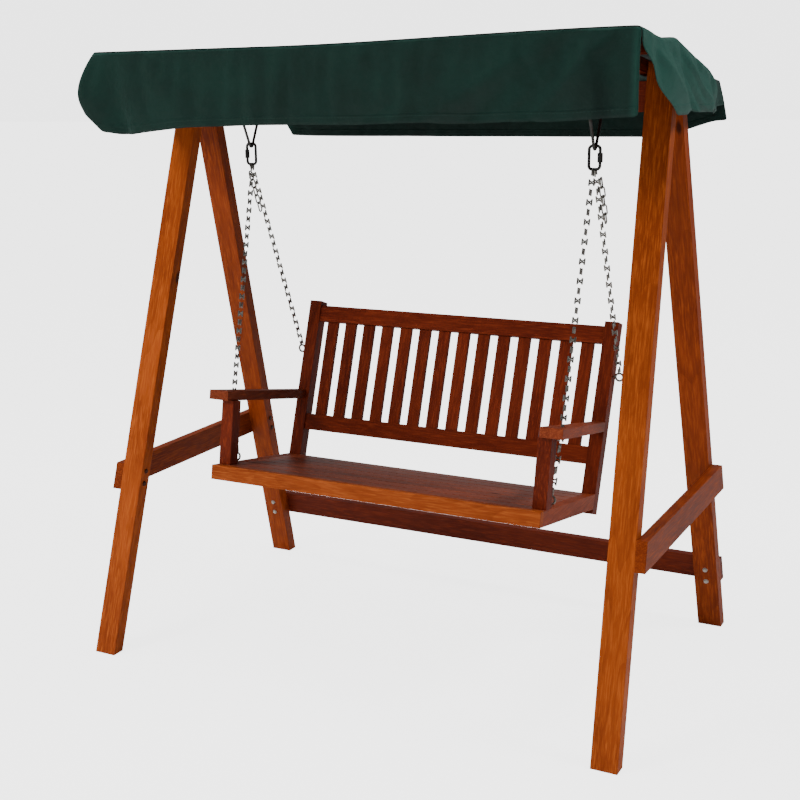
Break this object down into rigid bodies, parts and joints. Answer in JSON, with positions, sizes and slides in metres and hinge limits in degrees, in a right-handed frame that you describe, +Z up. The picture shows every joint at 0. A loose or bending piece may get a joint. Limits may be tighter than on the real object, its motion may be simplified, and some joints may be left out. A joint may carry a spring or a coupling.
{
  "type": "porch swing",
  "caption": "Freestanding wooden porch swing: A-frame stand, chain-hung slatted bench with arms, and a tilting fabric canopy.",
  "frame": {"origin": "on the ground, midway between the four feet", "axes": "+Z up, +X to the right of someone facing the bench, -Y towards the front"},
  "size_m": [1.6478, 1.067, 1.752],
  "materials": {
    "frame_wood": "satin",
    "seat_wood": "satin",
    "canopy_wood": "satin",
    "zinc_steel": "satin",
    "chain_steel": "satin",
    "canopy_fabric": "matte"
  },
  "bodies": {
    "root": {"front_leg_left": "frame_wood", "front_leg_right": "frame_wood", "rear_leg_left": "frame_wood", "rear_leg_right": "frame_wood", "side_brace_left": "frame_wood", "side_brace_right": "frame_wood", "rear_stretcher": "frame_wood", "top_beam": "frame_wood", "frame_bolts": "zinc_steel", "canopy_pivot_bolts": "zinc_steel", "wing_nuts": "zinc_steel", "hanger_loop_left": "zinc_steel", "hanger_loop_right": "zinc_steel"},
    "canopy": {"canopy_rafter_left": "canopy_wood", "canopy_rafter_right": "canopy_wood", "canopy_rail_front": "canopy_wood", "canopy_rail_rear": "canopy_wood", "canopy_rail_ridge": "canopy_wood", "canopy_cover": "canopy_fabric"},
    "swing": {"quick_link_left": "zinc_steel", "quick_link_right": "zinc_steel", "quick_link_nuts": "zinc_steel", "chains_left": "chain_steel", "chains_right": "chain_steel", "chain_eyes": "chain_steel", "seat_apron": "seat_wood", "seat_rear_rail": "seat_wood", "seat_middle_bearer": "seat_wood", "seat_side_rail_left": "seat_wood", "seat_side_rail_right": "seat_wood", "seat_cleats": "seat_wood", "back_post_left": "seat_wood", "back_post_right": "seat_wood", "back_rail_lower": "seat_wood", "back_rail_top": "seat_wood", "arm_left": "seat_wood", "arm_right": "seat_wood", "arm_post_left": "seat_wood", "arm_post_right": "seat_wood", "seat_slat_1": "seat_wood", "seat_slat_2": "seat_wood", "seat_slat_3": "seat_wood", "seat_slat_4": "seat_wood", "seat_slat_5": "seat_wood", "seat_slat_6": "seat_wood", "seat_slat_7": "seat_wood", "back_slat_01": "seat_wood", "back_slat_02": "seat_wood", "back_slat_03": "seat_wood", "back_slat_04": "seat_wood", "back_slat_05": "seat_wood", "back_slat_06": "seat_wood", "back_slat_07": "seat_wood", "back_slat_08": "seat_wood", "back_slat_09": "seat_wood", "back_slat_10": "seat_wood", "back_slat_11": "seat_wood", "back_slat_12": "seat_wood", "back_slat_13": "seat_wood", "back_slat_14": "seat_wood"}
  },
  "joints": [
    {"name": "swing_pivot", "type": "hinge", "parent": "root", "child": "swing", "pos_m": [0, 0, 1.484], "axis": [1, 0, 0], "range_deg": [-30, 30]},
    {"name": "canopy_tilt", "type": "hinge", "parent": "root", "child": "canopy", "pos_m": [0, 0, 1.676], "axis": [1, 0, 0], "range_deg": [-8, 8]}
  ]
}
